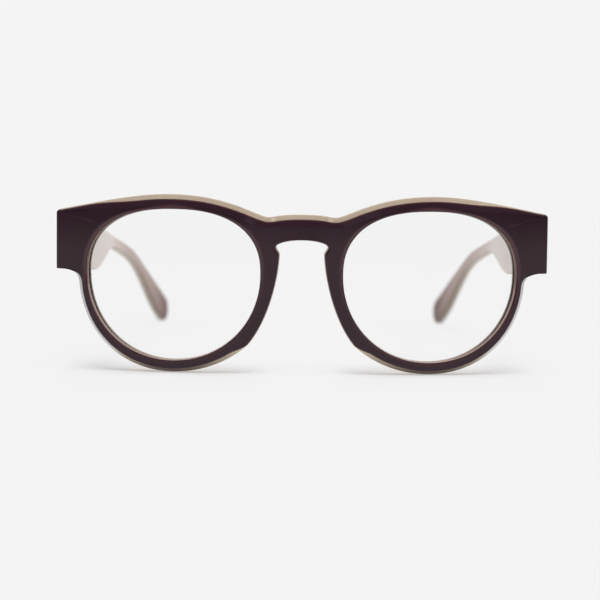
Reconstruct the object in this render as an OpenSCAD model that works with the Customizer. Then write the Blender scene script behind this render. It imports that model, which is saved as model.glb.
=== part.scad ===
// Panto eyeglasses in laminated acetate: a bowed two-layer front with a keyhole bridge,
// bevelled lenses in V grooves, cemented nose pads, five-knuckle hinges and cored temples.
// X runs across the face, Y runs back along the temples and Z is up. The glasses stand on
// the two rims and the two temple tips, at Z = 0, with the origin under the middle of the box.
// Outlines are drawn on the flat front as [s, z], with s measured along the bow from the
// middle of the bridge, and then bent. A depth n is measured from the face towards the back.

/* [Lenses] */
// Width of one lens opening
lens_w = 49.3; // [45:0.1:54]
// Height of the opening above its widest line
lens_rise = 18.0; // [16.5:0.1:19.5]
// Depth of the opening below its widest line
lens_drop = 24.5; // [22.5:0.1:26.5]
// Thickness of a lens
lens_t = 2.0; // [1.8:0.1:2.4]
// How far the middle of a lens bulges forward of its edge
lens_dome = 1.2; // [0.6:0.1:1.8]
// Depth of the groove that holds the lens
groove_depth = 0.7; // [0.5:0.05:0.9]
// Gap between a lens and its rim
lens_gap = 0.1; // [0.05:0.01:0.2]

/* [Front] */
// Distance between the two lens openings
bridge_w = 23.2; // [21:0.1:25]
// Radius of the bow of the front, seen from above
bow_r = 330; // [260:5:400]
// Thickness of the dark face layer
face_t = 1.8; // [1.4:0.1:2.2]
// Thickness of the light back layer
back_t = 3.6; // [3.2:0.1:4.2]
// Width of the rim at the temple side
rim_side = 2.9; // [2.5:0.1:3.5]
// Height of the rim under the lens
rim_bottom = 3.4; // [2.9:0.1:4]
// Height of the brow over the lens
brow_h = 4.05; // [3.6:0.05:4.8]
// Height of the top of the bridge over the widest line of the lens
bridge_top = 16.8; // [16.2:0.05:17.2]
// Height of the bridge between its top and the keyhole
bridge_h = 7.2; // [6.2:0.05:8]
// How far the end piece stands out past the rim
end_reach = 6.2; // [5.8:0.1:7.4]
// Height of the end piece
end_h = 17.25; // [16.2:0.05:18]
// Height of the bottom of the end piece against the widest line of the lens
end_drop = -0.4; // [-0.8:0.05:0.6]
// Width of the light band that the bevel uncovers along the brow
brow_reveal = 1.3; // [0.9:0.05:1.6]
// Width of the light band under the lower rims
low_reveal = 0.95; // [0.5:0.05:1.1]
// Width of the light band at the nose side of the lower rims
nasal_reveal = 1.2; // [0.8:0.05:1.4]
// Width of the light band at the temple side of the rims
side_reveal = 1.25; // [0.8:0.05:1.4]
// Width of the bevel on the dark layer along the brow
brow_bevel = 1.8; // [1.2:0.1:2]

/* [Nose] */
// Half width of the keyhole at its neck
neck_w = 6.2; // [5.4:0.1:7]
// Half width of the keyhole at its lobes
lobe_w = 7.2; // [6.8:0.1:8]
// Height of a nose pad behind the front
pad_h = 5; // [3.5:0.1:6]
// Width of a nose pad where it is cemented on
pad_w = 3.1; // [2.6:0.1:3.3]
// How far a nose pad leans away from the nose for each millimetre of its height
pad_lean = 0.3; // [0.2:0.05:0.4]

/* [Temples] */
// Depth of a temple from the front to the middle of its tip's round end
temple_depth = 130; // [125:0.5:135]
// Depth at which the temple bends down behind the ear
bend_depth = 79; // [75:0.5:84]
// Angle at which the temples run down from the front
temple_drop = 11.9; // [11:0.1:12.8]
// Angle at which a temple runs inward from the hinge
toe_in = 8.4; // [7.6:0.1:9.2]
// Thickness of the temple at the hinge
block_t = 3.8; // [3.6:0.1:4.4]
// Thickness of the temple's arm and ear part
arm_t = 2.8; // [2.6:0.1:3.4]
// Thickness of the outer laminate of the temple
outer_t = 1.2; // [1:0.1:1.3]
// Depth at which the tall front block ends
block_depth = 28; // [25:0.5:32]
// Height of the block where it ends
block_h = 13.7; // [12.8:0.1:14.6]
// Height of the slim arm
arm_h = 3.4; // [3.2:0.1:4.6]
// Height of the tip of the ear part
tip_h = 7.8; // [6.8:0.1:8.6]
// Gap between a temple's front end and the front
butt_gap = 0.25; // [0.2:0.05:0.35]
// Thickness of the core wire
wire_t = 0.8; // [0.7:0.05:0.9]
// Height of the core wire
wire_h = 1.6; // [1.4:0.1:2]
// Gap between the core wire and its tunnel
wire_gap = 0.1; // [0.05:0.01:0.15]

/* [Hinges] */
// Radius of the hinge knuckles
knuckle_r = 1.5; // [1.3:0.05:1.7]
// Height of one hinge knuckle
knuckle_h = 1.6; // [1.4:0.05:1.8]
// Gap between two knuckles
knuckle_gap = 0.1; // [0.05:0.01:0.15]
// Radius of the hinge screw
screw_r = 0.7; // [0.6:0.05:0.8]
// Running clearance around the hinge screw
screw_fit = 0.05; // [0.03:0.01:0.08]
// Clearance between the knuckles and the acetate beside them
hinge_gap = 0.35; // [0.3:0.05:0.45]
// Thickness of the hinge leaves
leaf_t = 0.9; // [0.8:0.05:1.1]
// Height of the hinge leaves
leaf_h = 9.4; // [8.6:0.1:10.5]
// Length of the leaf in the temple
leaf_l = 11; // [9:0.5:14]
// How far a leaf stands proud of the acetate that it is sunk in
leaf_proud = 0.08; // [0.05:0.01:0.1]

/* [Hidden] */
$fn = 28;

plum = [0.22, 0.17, 0.19];
champagne = [0.72, 0.66, 0.57];
mauve = [0.60, 0.53, 0.51];
clear = [0.85, 0.9, 0.9, 0.35];
steel = [0.75, 0.75, 0.77];

// Polished edges, and the least bevel that an edge keeps
edge = 0.35;
edge_min = 0.15;
// Shape of the opening: how square its upper and lower halves are, 2 being an ellipse
square_top = 2.4;
square_low = 2.06;
// The same for the lower rim's outside, at the temple side and at the nose side
square_side = 2.1;
square_nasal = 2.0;
// How much wider than the opening the lower nasal outline runs, where the nose cut trims it
nasal_extra = 5.75;
// How soon the light band reaches its full width behind the face layer
reveal_step = 0.4;
// Room that a sunk piece has in its pocket
pocket_gap = 0.05;

front_t = face_t + back_t;
eye = [bridge_w / 2 + lens_w / 2, rim_bottom + lens_drop];
side_s = eye[0] + lens_w / 2 + rim_side;
end_s = side_s + end_reach;
end_z = eye[1] - end_drop;
groove_n = face_t + 1.3;
groove_half = 0.8;

// Points of the outline that the curves run through
apex = [eye[0] + 1.3, eye[1] + lens_rise + brow_h];
corner_top = end_z + end_h;
bridge_z = eye[1] + bridge_top;
dip = [bridge_w / 2 - 2.1, bridge_z - 0.77];
keyhole_z = bridge_z - bridge_h;
lobe_top = [lobe_w - 0.9, keyhole_z - 1];
neck = [neck_w, keyhole_z - 4.2];

// Curves and points

function unit(v) = v / norm(v);
function mix(a, b, t) = a + (b - a) * t;
function smooth(t) = let(u = min(1, max(0, t))) u * u * (3 - 2 * u);

// A point of a cubic curve with end points p[0] and p[3] and handles p[1] and p[2]
function cubic(p, t) = pow(1 - t, 3) * p[0] + 3 * pow(1 - t, 2) * t * p[1]
    + 3 * (1 - t) * t * t * p[2] + pow(t, 3) * p[3];
function run_cubic(p, n) = [for (i = [0:n - 1]) cubic(p, i / n)];
function run_line(a, b, n) = [for (i = [0:n - 1]) mix(a, b, i / n)];
function run_arc(c, r, a0, a1, n) = [for (i = [0:n - 1])
    c + r * [cos(mix(a0, a1, i / n)), sin(mix(a0, a1, i / n))]];

// A point of a squared ellipse with half axes a and b, seen at an angle from its middle
function squared(a, b, e, angle) =
    pow(pow(abs(cos(angle)) / a, e) + pow(abs(sin(angle)) / b, e), -1 / e)
    * [cos(angle), sin(angle)];

// The edge of the lens opening at an angle, moved outward by grow
function opening(angle, grow = 0) = let(
    up = sin(angle) > 0,
    p = squared(lens_w / 2, up ? lens_rise : lens_drop, up ? square_top : square_low, angle))
    eye + p + grow * unit(p);

function low_rim(angle, nasal) = eye + squared(
    lens_w / 2 + (nasal ? nasal_extra : rim_side), eye[1],
    nasal ? square_nasal : square_side, angle);

// A point of the flat front, bent to the bow, at depth n
function bend(p, n) = let(a = p[0] / bow_r * 180 / PI)
    [(bow_r - n) * sin(a), bow_r - (bow_r - n) * cos(a), p[1]];

// The outline of one half of the front, in runs that each go with a stretch of the opening.
// A run is [points, angle on the opening where it starts, kind of edge].

notch_angle = 223;
fillet_angle = -6.2;
notch = low_rim(notch_angle, true);
fillet_from = low_rim(fillet_angle, false);
corner_r = 1.2;
corner_turn = 78;
foot_r = 0.6;
foot = [side_s + 3.4, end_z];
side_top = corner_top - 0.2 - corner_r;
corner_end = [end_s - corner_r + corner_r * cos(corner_turn),
              side_top + corner_r * sin(corner_turn)];

nose_curve = [neck, neck + [0.4, -8], notch + [-5.2, 6.1], notch];

outline_runs = [
    [run_cubic([fillet_from, fillet_from + [0.25, 1.9], foot - [1.9, 0], foot], 4), -8, "foot"],
    [run_line(foot, [end_s - foot_r, end_z], 2), -3, "end"],
    [run_arc([end_s - foot_r, end_z + foot_r], foot_r, -90, 0, 2), 0, "end"],
    [run_line([end_s, end_z + foot_r], [end_s, side_top], 6), 2, "end"],
    [run_arc([end_s - corner_r, side_top], corner_r, 0, corner_turn, 3), 30, "end"],
    [run_cubic([corner_end, corner_end + [-10, 1.9], apex + [10.2, 0], apex], 12), 34, "brow"],
    [run_cubic([apex, apex - [17.2, 0], dip + [3.4, 0], dip], 12), 87, "brow"],
    [run_cubic([dip, dip - [2.2, 0], [6.9, bridge_z], [0, bridge_z]], 5), 141, "brow"],
    [run_line([0, bridge_z], [0, keyhole_z], 2), 150, "brow"],
    [run_cubic([[0, keyhole_z], [2.2, keyhole_z], lobe_top + [-1.7, 0.75], lobe_top], 4), 158, "nose"],
    [run_cubic([lobe_top, lobe_top + [2.1, -0.93], neck + [-0.07, 1.4], neck], 5), 165, "nose"],
    [run_cubic(nose_curve, 11), 172, "nose"],
    [[for (i = [0:8]) low_rim(mix(notch_angle, 270, i / 9), true)], 217, "notch"],
    [[for (i = [0:16]) low_rim(mix(270, 360 + fillet_angle, i / 17), false)], 268, "rim"]];
last_angle = 352;

// How far the face layer stops inside the outline at a point of a run, and how wide its own
// bevel is there: both are wide along the brow and run out towards the corner
band_fade = eye[0] + 10;
bevel_fade = eye[0] + 16;
fade_run = end_s - eye[0] - 18;
corner_reveal = 0.25;
corner_bevel = 0.6;
function reveal_at(kind, p, t) =
    kind == "brow" ? mix(brow_reveal, corner_reveal, smooth((p[0] - band_fade) / fade_run))
    : kind == "notch" ? mix(edge_min, mix(nasal_reveal, low_reveal, t), smooth(t * 4))
    : kind == "rim" ? mix(low_reveal, side_reveal, t)
    : kind == "foot" ? mix(side_reveal, edge_min, smooth(t))
    : edge_min;
function bevel_at(kind, p) = kind == "brow"
    ? mix(brow_bevel, corner_bevel, smooth((p[0] - bevel_fade) / fade_run)) : edge;

// Stations of the half outline: [point, inward normal, angle on the opening, reveal, bevel]
raw = [for (k = [0:len(outline_runs) - 1]) let(
        run = outline_runs[k],
        n = len(run[0]),
        next = k + 1 < len(outline_runs) ? outline_runs[k + 1][1] : last_angle)
    for (i = [0:n - 1])
        [run[0][i], mix(run[1], next, i / n), run[2], i / n]];
count = len(raw);

function inward_normal(i) = let(
    p = raw[i][0],
    a = raw[(i + count - 1) % count][0],
    b = raw[(i + 1) % count][0],
    t = unit(b - a))
    p[0] > 0.001 ? [-t[1], t[0]] : abs(p[1] - bridge_z) < 0.01 ? [0, -1]
    : abs(p[1] - keyhole_z) < 0.01 ? [0, 1] : [0, 0];

stations = [for (i = [0:count - 1]) let(r = raw[i])
    [r[0], inward_normal(i), r[1], reveal_at(r[2], r[0], r[3]), bevel_at(r[2], r[0])]];

// A point of a station, at distance w inside the outline and depth n
function rim_point(st, w, n) = bend(st[0] + w * st[1], n);
function eye_point(st, grow, n) = bend(opening(st[2], grow), n);

// Solids from rows of points, each row one closed profile. Each square between two rows is
// cut along its shorter diagonal, so that layers that share a face share its triangles.

function ring_faces(points, rows, cols, closed) = [
    for (i = [0:rows - (closed ? 1 : 2)]) for (j = [0:cols - 1]) let(
        a = i * cols + j,
        b = (i + 1) % rows * cols + j,
        c = (i + 1) % rows * cols + (j + 1) % cols,
        d = i * cols + (j + 1) % cols)
        for (f = norm(points[a] - points[c]) < norm(points[b] - points[d])
            ? [[a, b, c], [a, c, d]] : [[a, b, d], [b, c, d]]) f];

module loft(rows, closed = false) {
    cols = len(rows[0]);
    points = [for (r = rows) for (p = r) p];
    caps = closed ? [] : [[for (j = [0:cols - 1]) j],
                          [for (j = [cols - 1:-1:0]) (len(rows) - 1) * cols + j]];
    polyhedron(points = points, convexity = 8,
               faces = concat(ring_faces(points, len(rows), cols, closed), caps));
}

module both_sides() {
    children();
    mirror([1, 0, 0]) children();
}

// side is 1 for the wearer's left, at +X, and -1 for the wearer's right
module on_side(side) {
    mirror([side < 0 ? 1 : 0, 0, 0]) children();
}

// Puts everything made from the bridge's face back to the common origin
module placed() {
    translate([0, -depth / 2, 0]) children();
}

// Front

module half_face() {
    loft([for (s = stations) [
        rim_point(s, s[3] + s[4], 0),
        rim_point(s, s[3], min(s[4], face_t - 0.1)),
        rim_point(s, s[3], face_t),
        eye_point(s, 0, face_t),
        eye_point(s, 0, edge),
        eye_point(s, edge, 0)]], closed = true);
}

module half_back() {
    loft([for (s = stations) [
        rim_point(s, s[3], face_t),
        rim_point(s, 0, face_t + min(s[3], reveal_step)),
        rim_point(s, 0, front_t - edge),
        rim_point(s, edge, front_t),
        eye_point(s, edge, front_t),
        eye_point(s, 0, front_t - edge),
        eye_point(s, 0, groove_n + groove_half),
        eye_point(s, groove_depth, groove_n),
        eye_point(s, 0, groove_n - groove_half),
        eye_point(s, 0, face_t)]], closed = true);
}

module front_face_layer() {
    color(plum) placed() both_sides() half_face();
}

module front_back_layer() {
    color(champagne) placed() difference() {
        both_sides() half_back();
        both_sides() hinge_frame() front_leaf_plate(pocket_gap, 1);
    }
}

// Lenses

lens_steps = 60;
// Ring between the middle of a lens and its edge
lens_middle = 0.55;

function lens_ring(share, grow, n) = [for (i = [0:lens_steps - 1]) let(
    p = opening(i * 360 / lens_steps, grow))
    bend(mix(eye, p, share), n - lens_dome * (1 - share * share))];

module lens(side) {
    h = lens_t / 2;
    foot_half = 0.6;
    tip_gap = 0.15;
    rings =
        [lens_ring(lens_middle, -lens_gap, groove_n - h),
         lens_ring(1, -lens_gap, groove_n - h),
         lens_ring(1, -lens_gap, groove_n - foot_half),
         lens_ring(1, groove_depth - tip_gap, groove_n),
         lens_ring(1, -lens_gap, groove_n + foot_half),
         lens_ring(1, -lens_gap, groove_n + h),
         lens_ring(lens_middle, -lens_gap, groove_n + h)];
    m = lens_steps;
    points = concat([for (r = rings) for (p = r) p],
                    [bend(eye, groove_n - h - lens_dome), bend(eye, groove_n + h - lens_dome)]);
    front_pole = len(rings) * m;
    walls = [for (i = [0:len(rings) - 2]) for (j = [0:m - 1]) let(j2 = (j + 1) % m)
        for (f = [[i * m + j, (i + 1) * m + j2, (i + 1) * m + j],
                  [i * m + j, i * m + j2, (i + 1) * m + j2]]) f];
    poles = [for (j = [0:m - 1]) let(j2 = (j + 1) % m, k = (len(rings) - 1) * m)
        for (f = [[front_pole, j2, j], [front_pole + 1, k + j, k + j2]]) f];
    color(clear) placed() on_side(side)
        polyhedron(points = points, faces = concat(walls, poles), convexity = 4);
}

// Nose pads

pad_steps = 16;

// A ridge along the nose side of the rim, round in section, that leans away from the nose
module nose_pad(side) {
    glue = 0.03;
    color(champagne) placed() on_side(side) loft([for (i = [0:pad_steps]) let(
        t = mix(0.14, 0.95, i / pad_steps),
        p = cubic(nose_curve, t),
        along = unit(cubic(nose_curve, t + 0.01) - cubic(nose_curve, t - 0.01)),
        inward = [-along[1], along[0]],
        u = sin(180 * mix(0.02, 0.98, i / pad_steps)),
        h = pad_h * pow(u, 0.75),
        w = pad_w * pow(u, 0.35))
        [for (a = [0:22.5:180]) let(
            deep = h * pow(sin(a), 0.7),
            across = edge + pad_w / 2 - w / 2 * cos(a) + pad_lean * deep)
            bend(p + across * inward, front_t + glue + deep)]]);
}

// Temples: the path of the top outer edge, by its depth d behind the front

end_angle = end_s / bow_r * 180 / PI;
butt_x = (bow_r - front_t) * sin(end_angle) - 0.15;
butt_y = bow_r - (bow_r - front_t) * cos(end_angle);
temple_step = 0.4;
butt_h = end_h - 2 * temple_step;
temple_top = corner_top - temple_step;

// The inward run of a temple in plan
function inward(d) = tan(toe_in) * d;

// The bend is a soft ramp that adds the ear part's slope behind bend_depth
bend_soft = 6;
function ramp(x) = (x + sqrt(x * x + bend_soft * bend_soft)) / 2;
function ramp_slope(x) = (1 + x / sqrt(x * x + bend_soft * bend_soft)) / 2;

// The slope of the ear part that brings the tip's round end down to Z = 0
function ear_slope(turns = 8) = turns == 0 ? 0.8 : let(
    a = atan(ear_slope(turns - 1) * cos(toe_in)),
    rise = temple_top - tan(temple_drop) * temple_depth - tip_h / 2 * (1 + cos(a)))
    tan(temple_drop) + rise / ramp(temple_depth - bend_depth);
ear_tan = ear_slope();
function top_z(d) = temple_top - tan(temple_drop) * d
    - (ear_tan - tan(temple_drop)) * ramp(d - bend_depth);
function slope_angle(d) = atan(cos(toe_in)
    * (tan(temple_drop) + (ear_tan - tan(temple_drop)) * ramp_slope(d - bend_depth)));

// The block narrows to the arm over waist_l. The ear part widens between ear_from and ear_to.
waist_l = 28;
arm_depth = block_depth + waist_l;
ear_from = arm_depth + 30;
ear_to = temple_depth - 4;
function temple_h(d) = d < arm_depth
    ? mix(mix(butt_h, block_h, max(0, d) / block_depth), arm_h,
          smooth((d - block_depth) / waist_l))
    : mix(arm_h, tip_h, smooth((d - ear_from) / (ear_to - ear_from)));
function temple_t(d) = mix(block_t, arm_t, smooth((d - block_depth) / waist_l));

// Stations of a temple: [depth, share of the full height], the last ones round off the tip
tip_reach = tip_h / 2 * cos(slope_angle(temple_depth)) * cos(toe_in);
tip_turn = 13.5;
bend_from = bend_depth - 10;
bend_to = bend_depth + 10;
front_over = 4;
temple_stations = concat(
    [for (i = [0:5]) [mix(-front_over, block_depth, i / 6), 1]],
    [for (i = [0:8]) [mix(block_depth, arm_depth, i / 9), 1]],
    [for (i = [0:1]) [mix(arm_depth, bend_from, i / 2), 1]],
    [for (i = [0:7]) [mix(bend_from, bend_to, i / 8), 1]],
    [for (i = [0:6]) [mix(bend_to, temple_depth, i / 7), 1]],
    [for (i = [0:6]) [temple_depth + tip_reach * sin(i * tip_turn), cos(i * tip_turn)]]);

// A point of the temple's section at depth d: b inward from the outer face, v down from the top
function temple_point(st, b, v) = let(
    d = st[0],
    a = slope_angle(d) * smooth(d / block_depth),
    down = v + temple_h(d) * (1 - st[1]) / 2)
    [butt_x - inward(d) - b * cos(toe_in) + down * sin(a) * sin(toe_in),
     butt_y + d - b * sin(toe_in) - down * sin(a) * cos(toe_in),
     top_z(d) - down * cos(a)];

// How much the temple's long edges are cut back
corner_cut = 0.7;

function outer_row(st) = let(h = temple_h(st[0]) * st[1], c = min(corner_cut, h * 0.3))
    [for (q = [[0, h - c], [c, h], [outer_t, h], [outer_t, 0], [c, 0], [0, c]])
        temple_point(st, q[0], q[1])];
function inner_row(st) = let(h = temple_h(st[0]) * st[1], c = min(corner_cut, h * 0.3),
                             t = temple_t(st[0]))
    [for (q = [[outer_t, h], [t - c, h], [t, h - c], [t, c], [t - c, 0], [outer_t, 0]])
        temple_point(st, q[0], q[1])];

// Everything in front of the plane that the temple's front end meets, behind the end piece
module butt_cut() {
    a = (end_s - block_t) / bow_r * 180 / PI;
    half_w = 20;
    reach = 30;
    tall = corner_top + 30;
    translate([(bow_r - front_t) * sin(a), bow_r - (bow_r - front_t) * cos(a), 0])
        rotate([0, 0, a]) translate([-half_w, butt_gap - reach, 0])
            cube([2 * half_w, reach, tall]);
}

module temple_outer(side) {
    color(champagne) placed() on_side(side) difference() {
        loft([for (s = temple_stations) outer_row(s)]);
        butt_cut();
    }
}

module temple_inner(side) {
    color(mauve) placed() on_side(side) difference() {
        loft([for (s = temple_stations) inner_row(s)]);
        butt_cut();
        wire(wire_gap);
        temple_leaf_frame() temple_leaf_plate(pocket_gap, 1);
    }
}

// Core wires, in the middle of the inner laminate

wire_start = leaf_l + 1.4;
wire_end = temple_depth - 6;
wire_stations = concat(
    [for (i = [0:4]) [mix(wire_start, block_depth, i / 5), 1]],
    [for (s = temple_stations) if (s[0] >= block_depth && s[0] < wire_end - 1) s],
    [[wire_end, 1]]);

module wire(grow) {
    last = len(wire_stations) - 1;
    loft([for (i = [0:last]) let(
        s = wire_stations[i],
        reach = grow * (i == 0 ? -20 : i == last ? 1 : 0),
        at = [s[0] + reach, 1],
        mid = min(temple_h(s[0]) / 2, wire_h + 3),
        b = (outer_t + temple_t(s[0])) / 2,
        x = wire_t / 2 + grow,
        y = wire_h / 2 + grow,
        c = 0.3)
        [for (q = [[-x, y - c], [-x + c, y], [x - c, y], [x, y - c],
                   [x, -y + c], [x - c, -y], [-x + c, -y], [-x, -y + c]])
            temple_point(at, b + q[0], mid + q[1])]]);
}

module core_wire(side) {
    color(steel) placed() on_side(side) wire(0);
}

// Hinges: five knuckles on one vertical screw, three on the front leaf and two on the temple's

hinge_reach = knuckle_r + hinge_gap;
hinge_x = butt_x - block_t - hinge_reach;
hinge_angle = asin(hinge_x / (bow_r - front_t - hinge_reach));
hinge_y = bow_r - (bow_r - front_t - hinge_reach) * cos(hinge_angle);
hinge_z = end_z + end_h / 2;
pitch = knuckle_h + knuckle_gap;
neck_half = knuckle_r * 0.75;
leaf_side = 2.4;

// The temple's leaf lies along the temple, whose inner face runs this far from the screw's axis
leaf_reach = (butt_x - inward(hinge_y - butt_y) - hinge_x) * cos(toe_in) - block_t;

module hinge_frame() {
    translate([hinge_x, hinge_y, hinge_z]) rotate([0, 0, hinge_angle]) children();
}

module temple_leaf_frame() {
    translate([hinge_x, hinge_y, hinge_z]) rotate([0, 0, toe_in]) children();
}

module knuckles(places, bore_r) {
    for (k = places) translate([0, 0, k * pitch - knuckle_h / 2]) difference() {
        union() {
            cylinder(r = knuckle_r, h = knuckle_h);
            children();
        }
        translate([0, 0, -1]) cylinder(r = bore_r, h = knuckle_h + 2);
    }
}

module front_leaf_plate(grow, open) {
    translate([-leaf_side - grow, leaf_proud - hinge_reach - leaf_t - grow, -leaf_h / 2 - grow])
        cube([2 * (leaf_side + grow), leaf_t + grow + open, leaf_h + 2 * grow]);
}

module temple_leaf_plate(grow, open) {
    front = open > 0 ? 6 : neck_half;
    translate([leaf_reach - leaf_proud - open, -front, -leaf_h / 2 - grow])
        cube([leaf_t + grow + open, leaf_l + front + grow, leaf_h + 2 * grow]);
}

module hinge_front_leaf(side) {
    color(steel) placed() on_side(side) hinge_frame() {
        front_leaf_plate(0, 0);
        knuckles([-2, 0, 2], screw_r + screw_fit)
            translate([-neck_half, -hinge_reach - 0.1, 0])
                cube([2 * neck_half, hinge_reach + 0.1, knuckle_h]);
    }
}

module hinge_temple_leaf(side) {
    color(steel) placed() on_side(side) temple_leaf_frame() {
        temple_leaf_plate(0, 0);
        knuckles([-1, 1], screw_r + screw_fit)
            translate([0, -neck_half, 0]) cube([leaf_reach + 0.1, 2 * neck_half, knuckle_h]);
    }
}

module hinge_screw(side) {
    head_h = 0.7;
    head_r = screw_r + 0.5;
    top = 2 * pitch + knuckle_h / 2;
    bottom = -top;
    color(steel) placed() on_side(side) hinge_frame() difference() {
        union() {
            translate([0, 0, bottom]) cylinder(r = screw_r, h = top - bottom + 0.2);
            translate([0, 0, top + 0.05]) cylinder(r = head_r, h = head_h);
        }
        translate([-0.15, -2, top + head_h - 0.25]) cube([0.3, 4, 1]);
    }
}

// Depth of the whole, from the face of the bridge to the end of a temple
tip_rows = [for (s = temple_stations) each concat(outer_row(s), inner_row(s))];
depth = max([for (p = tip_rows) p[1]]);

front_face_layer();
front_back_layer();
lens(1);  // lens_left
lens(-1);  // lens_right
nose_pad(1);  // nose_pad_left
nose_pad(-1);  // nose_pad_right
hinge_front_leaf(1);  // hinge_front_leaf_left
hinge_front_leaf(-1);  // hinge_front_leaf_right
hinge_screw(1);  // hinge_screw_left
hinge_screw(-1);  // hinge_screw_right
hinge_temple_leaf(1);  // hinge_temple_leaf_left
hinge_temple_leaf(-1);  // hinge_temple_leaf_right
temple_outer(1);  // temple_outer_left
temple_outer(-1);  // temple_outer_right
temple_inner(1);  // temple_inner_left
temple_inner(-1);  // temple_inner_right
core_wire(1);  // core_wire_left
core_wire(-1);  // core_wire_right
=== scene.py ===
import math

import bpy
import numpy as np
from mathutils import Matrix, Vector


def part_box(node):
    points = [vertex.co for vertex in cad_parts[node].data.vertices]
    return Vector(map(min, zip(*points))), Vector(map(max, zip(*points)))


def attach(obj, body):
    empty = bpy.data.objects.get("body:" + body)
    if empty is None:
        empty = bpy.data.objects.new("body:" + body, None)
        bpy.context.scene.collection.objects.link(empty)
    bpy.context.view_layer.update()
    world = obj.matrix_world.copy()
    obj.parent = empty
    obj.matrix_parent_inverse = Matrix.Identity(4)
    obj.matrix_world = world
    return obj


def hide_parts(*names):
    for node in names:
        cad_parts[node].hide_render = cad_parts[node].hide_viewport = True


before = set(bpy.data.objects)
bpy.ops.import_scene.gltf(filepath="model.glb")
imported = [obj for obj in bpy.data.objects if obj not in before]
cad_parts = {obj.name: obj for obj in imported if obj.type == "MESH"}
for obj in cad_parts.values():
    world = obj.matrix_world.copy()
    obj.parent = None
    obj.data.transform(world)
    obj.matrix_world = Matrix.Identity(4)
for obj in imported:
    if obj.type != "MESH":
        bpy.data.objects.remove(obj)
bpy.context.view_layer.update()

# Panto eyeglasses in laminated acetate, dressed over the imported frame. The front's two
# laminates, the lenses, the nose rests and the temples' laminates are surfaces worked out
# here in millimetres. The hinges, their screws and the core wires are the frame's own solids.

MM = 0.001
SIDES = {"left": 1.0, "right": -1.0}


# Sizes of the front, in mm, on the flat face before it is bent: s across, z up, n into it

LENS_W, LENS_RISE, LENS_DROP = 49.3, 18.0, 24.5
BRIDGE_W, BOW_R = 23.2, 330.0
FACE_T, BACK_T = 1.8, 3.6
RIM_SIDE, RIM_BOTTOM, BROW_H = 2.9, 3.4, 4.05
BRIDGE_TOP, BRIDGE_H = 16.8, 7.2
END_REACH, END_H, END_DROP = 6.2, 17.25, -0.4
SQUARE_TOP, SQUARE_LOW, NASAL_EXTRA = 2.4, 2.06, 5.75
SQUARE_SIDE, SQUARE_NASAL = 2.1, 2.0
CORNER_R, CORNER_DROP, CORNER_TURN = 1.2, 0.2, 78.0
FOOT_R, FOOT_OUT = 0.6, 3.4
APEX_OUT, DIP_IN, DIP_DROP = 1.3, 2.1, 0.77
LOBE_W, LOBE_IN, LOBE_DROP = 7.2, 0.9, 1.0
NECK_W, NECK_DROP = 6.2, 4.2
NOTCH_ANGLE, FILLET_ANGLE = 223.0, -6.2

# The bared band of the back layer, the bevel, and where they fade out past the lens's middle
BROW_REVEAL, NASAL_REVEAL, LOW_REVEAL, SIDE_REVEAL = 1.3, 1.2, 0.95, 1.25
REVEAL_STEP, BEVEL_STEP = 0.4, 0.1
BROW_BEVEL, END_BEVEL = 1.8, 0.6
EDGE, EDGE_MIN, END_REVEAL = 0.35, 0.15, 0.25
REVEAL_FADES, BEVEL_FADES, FADE_SHORT = 10.0, 16.0, 18.0

LENS_T, LENS_DOME, LENS_GAP = 2.0, 1.2, 0.1
LENS_BEVEL, LENS_SEAT = 0.6, 0.15
GROOVE_DEPTH, GROOVE_HALF, GROOVE_BACK = 0.7, 0.8, 1.3
PAD_H, PAD_W, PAD_LEAN, PAD_LIFT = 5.0, 3.1, 0.3, 0.03
PAD_FROM, PAD_TO, PAD_ENDS = 0.14, 0.95, 0.004
PAD_RISE, PAD_TAPER, PAD_CROWN, PAD_FLARE = 0.75, 0.35, 0.7, 0.10

# How finely the front is cut: points a station, the widest column, and the easing's steps
FINE, FRONT_COLUMN, EASE_STEPS = 5, 1.6, 5
LENS_ROUND, LENS_RINGS, PAD_ROWS, PAD_COLUMNS = 180, 14, 60, 25

# An eased corner uses at most this share of a side, and shows in full from this radius on
EASE_LIMIT, EASE_FULL = 0.45, 0.3

# What counts as the same place
HAIR = 1e-3

# Shares of the opening out to which a lens is clear, past which its edge gets painted shade, and mm
# over which a wall's tint starts, which on the plum is painted light
LENS_SHADE, WALL_BLEND = 0.991, 0.15

FRONT_T = FACE_T + BACK_T
GROOVE_N = FACE_T + GROOVE_BACK
EYE = np.array([BRIDGE_W / 2 + LENS_W / 2, RIM_BOTTOM + LENS_DROP])
SIDE_S = EYE[0] + LENS_W / 2 + RIM_SIDE
END_S = SIDE_S + END_REACH
END_Z = EYE[1] - END_DROP
CORNER_TOP = END_Z + END_H
SIDE_TOP = CORNER_TOP - CORNER_DROP - CORNER_R
BRIDGE_Z = EYE[1] + BRIDGE_TOP
KEYHOLE_Z = BRIDGE_Z - BRIDGE_H
APEX = np.array([EYE[0] + APEX_OUT, EYE[1] + LENS_RISE + BROW_H])
DIP = np.array([BRIDGE_W / 2 - DIP_IN, BRIDGE_Z - DIP_DROP])
BRIDGE_MID, KEYHOLE_MID = np.array([0.0, BRIDGE_Z]), np.array([0.0, KEYHOLE_Z])
LOBE_TOP = np.array([LOBE_W - LOBE_IN, KEYHOLE_Z - LOBE_DROP])
NECK = np.array([NECK_W, KEYHOLE_Z - NECK_DROP])
FOOT = np.array([SIDE_S + FOOT_OUT, END_Z])


# Sizes of the temples, in mm. A depth d runs back from where a temple meets the front.

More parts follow.
